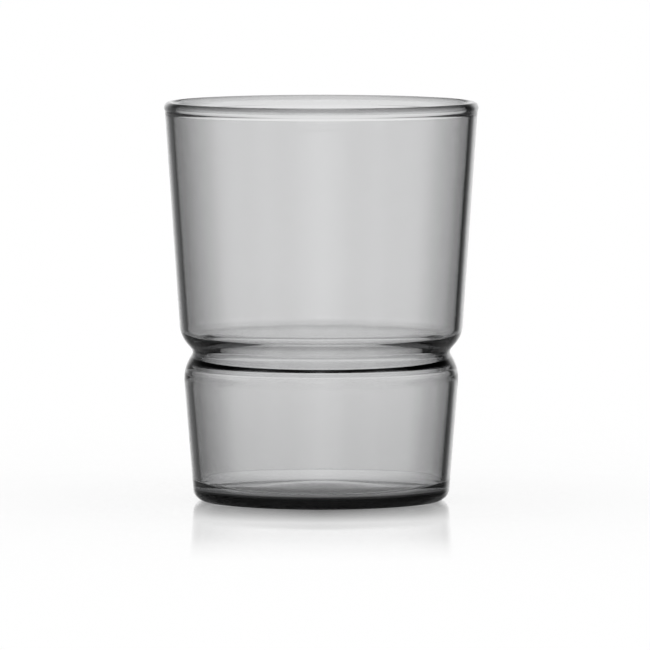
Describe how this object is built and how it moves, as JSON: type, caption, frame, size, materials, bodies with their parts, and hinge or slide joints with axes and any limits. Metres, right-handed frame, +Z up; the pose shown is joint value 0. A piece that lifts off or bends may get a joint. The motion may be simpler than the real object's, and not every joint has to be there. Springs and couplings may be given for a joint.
{
  "type": "water glass",
  "caption": "Tapered drinking glass of smoke-grey glass with a pinched waist, a thickened rounded lip and a thick foot, blown in one piece to hold a cold drink.",
  "frame": {"origin": "middle of the surface that the glass stands on", "axes": "+Z up the axis of the glass, from the foot to the mouth; X and Y are free, because the glass is round"},
  "size_m": [0.08, 0.08, 0.1015],
  "materials": {
    "smoke_glass": "clear smoke-grey tint, fire-polished and glossy"
  },
  "bodies": {
    "root": {"tumbler": "smoke_glass"}
  },
  "joints": []
}
